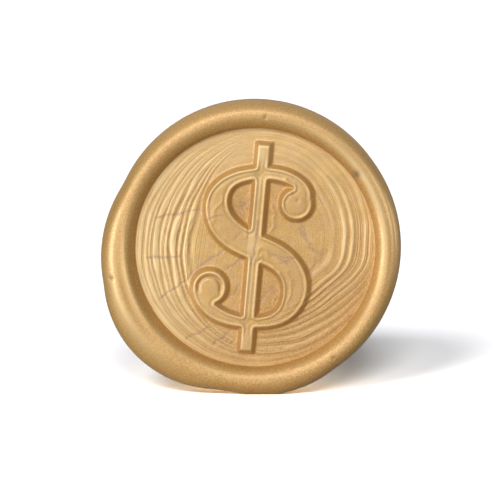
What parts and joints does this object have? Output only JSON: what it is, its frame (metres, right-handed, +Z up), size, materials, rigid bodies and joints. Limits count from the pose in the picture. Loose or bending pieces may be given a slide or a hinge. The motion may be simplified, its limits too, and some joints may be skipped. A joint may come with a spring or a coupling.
{
  "type": "wax seal",
  "caption": "Round pearl-gold wax seal with a raised currency sign in a rimmed field, backed by a foam adhesive dot and a peel-off paper liner, for closing envelopes.",
  "frame": {"origin": "on the flat stretch of rim that the seal stands on, under the stamp's axis and halfway through the depth of the wax", "axes": "+Z up along the face, the stamped face looks along -Y, the adhesive back looks along +Y"},
  "size_m": [0.0313, 0.0051, 0.0309],
  "materials": {
    "wax": "satin",
    "glue": "gloss",
    "foam": "matte",
    "liner_paper": "satin"
  },
  "bodies": {
    "seal": {"wax_seal": "wax", "wax_side_adhesive": "glue", "foam_pad": "foam", "paper_side_adhesive": "glue"},
    "liner": {"release_liner": "liner_paper"}
  },
  "joints": [
    {"name": "liner_peel", "type": "hinge", "parent": "seal", "child": "liner", "pos_m": [-0.0105, 0.00296, 0.01544], "axis": [0, 0, 1], "range_deg": [0, 150]}
  ]
}
